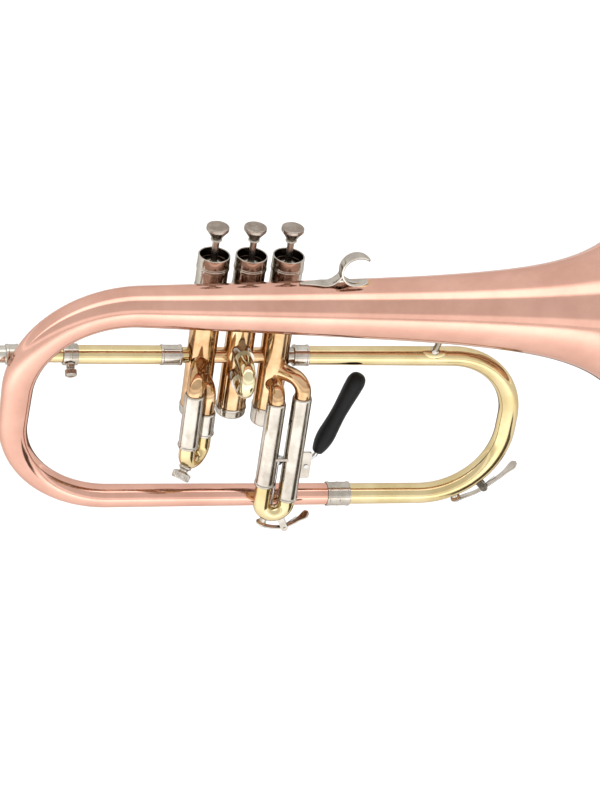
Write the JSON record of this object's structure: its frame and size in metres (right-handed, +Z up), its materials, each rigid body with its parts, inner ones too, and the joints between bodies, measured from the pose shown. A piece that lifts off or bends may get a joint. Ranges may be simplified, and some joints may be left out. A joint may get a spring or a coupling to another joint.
{
  "type": "flugelhorn",
  "caption": "Three-valve flugelhorn with a copper bell, nickel silver slides, a rubber-gripped third slide trigger and two water keys.",
  "frame": {"origin": "centre of the mouthpiece receiver's mouth, on the leadpipe's axis", "axes": "+X along the leadpipe towards the bell, +Z up the valves to the finger buttons, -Y the side where the bell passes"},
  "size_m": [0.4681, 0.1568, 0.2732],
  "materials": {
    "copper_bell": "clear lacquered copper-rich brass",
    "yellow_brass": "clear lacquered yellow brass",
    "gold_brass": "lacquered gold brass",
    "nickel_silver": "polished nickel silver",
    "steel": "polished spring steel",
    "black_rubber": "moulded black rubber",
    "felt": "pressed wool felt",
    "cork": "natural cork"
  },
  "bodies": {
    "frame": {"bell": "copper_bell", "bell_rim_wire": "copper_bell", "bell_bow": "copper_bell", "front_bow": "yellow_brass", "leadpipe": "yellow_brass", "valve_casing_1": "gold_brass", "valve_casing_2": "gold_brass", "valve_casing_3": "gold_brass", "valve_knuckles": "gold_brass", "first_elbows": "gold_brass", "third_elbows": "gold_brass", "bell_saddles": "gold_brass", "bell_ferrule": "nickel_silver", "exit_ferrule": "nickel_silver", "inlet_ferrule": "nickel_silver", "tuning_clamp": "nickel_silver", "upper_casings": "nickel_silver", "top_cap_1": "nickel_silver", "top_cap_2": "nickel_silver", "top_cap_3": "nickel_silver", "bottom_cap_1": "nickel_silver", "bottom_cap_2": "nickel_silver", "bottom_cap_3": "nickel_silver", "first_sleeves": "nickel_silver", "second_sleeves": "nickel_silver", "third_sleeves": "nickel_silver", "third_slide_brace": "nickel_silver", "front_key_saddle": "nickel_silver", "trigger_bracket": "nickel_silver", "finger_hook": "nickel_silver", "front_brace": "nickel_silver", "valve_spring_1": "steel", "valve_spring_2": "steel", "valve_spring_3": "steel", "trigger_screw": "steel", "valve_guides": "steel"},
    "valve_1": {"piston_1": "nickel_silver", "finger_button_1": "nickel_silver", "button_felt_1": "felt"},
    "valve_2": {"piston_2": "nickel_silver", "finger_button_2": "nickel_silver", "button_felt_2": "felt"},
    "valve_3": {"piston_3": "nickel_silver", "finger_button_3": "nickel_silver", "button_felt_3": "felt"},
    "tuning_slide": {"mouthpipe": "yellow_brass", "mouthpiece_receiver": "nickel_silver"},
    "clamp_screw": {"clamp_screw": "nickel_silver"},
    "first_slide": {"first_slide": "yellow_brass", "first_slide_knob": "nickel_silver"},
    "second_slide": {"second_slide": "yellow_brass"},
    "third_slide": {"third_slide": "yellow_brass", "third_key_saddle": "nickel_silver", "trigger_link": "steel"},
    "third_key": {"third_key_lever": "nickel_silver", "third_key_cork": "cork"},
    "front_key": {"front_key_lever": "nickel_silver", "front_key_cork": "cork"},
    "trigger": {"trigger_lever": "steel", "trigger_grip": "black_rubber"}
  },
  "joints": [
    {"name": "valve_1_press", "type": "slide", "parent": "frame", "child": "valve_1", "axis": [0, 0, -1], "range_m": [0, 0.0155], "stiffness_N_per_m": 180, "springref_m": -0.004, "deforming": ["valve_spring_1"]},
    {"name": "valve_2_press", "type": "slide", "parent": "frame", "child": "valve_2", "axis": [0, 0, -1], "range_m": [0, 0.0155], "stiffness_N_per_m": 180, "springref_m": -0.004, "deforming": ["valve_spring_2"]},
    {"name": "valve_3_press", "type": "slide", "parent": "frame", "child": "valve_3", "axis": [0, 0, -1], "range_m": [0, 0.0155], "stiffness_N_per_m": 180, "springref_m": -0.004, "deforming": ["valve_spring_3"]},
    {"name": "tuning_slide_pull", "type": "slide", "parent": "frame", "child": "tuning_slide", "axis": [-1, 0, 0], "range_m": [0, 0.02]},
    {"name": "clamp_screw_turn", "type": "hinge", "parent": "frame", "child": "clamp_screw", "pos_m": [0.07165, 0, 0], "axis": [0, -0.788, -0.6157], "range_deg": [0, 180]},
    {"name": "first_slide_pull", "type": "slide", "parent": "frame", "child": "first_slide", "axis": [0, 0, -1], "range_m": [0, 0.025]},
    {"name": "second_slide_pull", "type": "slide", "parent": "frame", "child": "second_slide", "axis": [0, -1, 0], "range_m": [0, 0.006]},
    {"name": "trigger_swing", "type": "hinge", "parent": "frame", "child": "trigger", "pos_m": [0.2493, -0.0088, -0.086], "axis": [0, -1, 0], "range_deg": [0, 22.92], "stiffness_Nm_per_rad": 0.08, "springref_deg": -22.92},
    {"name": "third_slide_throw", "type": "slide", "parent": "frame", "child": "third_slide", "axis": [0, 0, -1], "range_m": [0, 0.0086]},
    {"name": "third_key_open", "type": "hinge", "parent": "third_slide", "child": "third_key", "pos_m": [0.23801, -0.019, -0.13441], "axis": [0, -1, 0], "range_deg": [0, 16], "stiffness_Nm_per_rad": 0.02, "springref_deg": -28.65},
    {"name": "front_key_open", "type": "hinge", "parent": "frame", "child": "front_key", "pos_m": [0.39198, 0, -0.11395], "axis": [0, -1, 0], "range_deg": [0, 16], "stiffness_Nm_per_rad": 0.02, "springref_deg": -28.65}
  ],
  "couplings": [
    {"joint": "third_slide_throw", "follows": "trigger_swing", "m_per_rad": 0.021487}
  ]
}
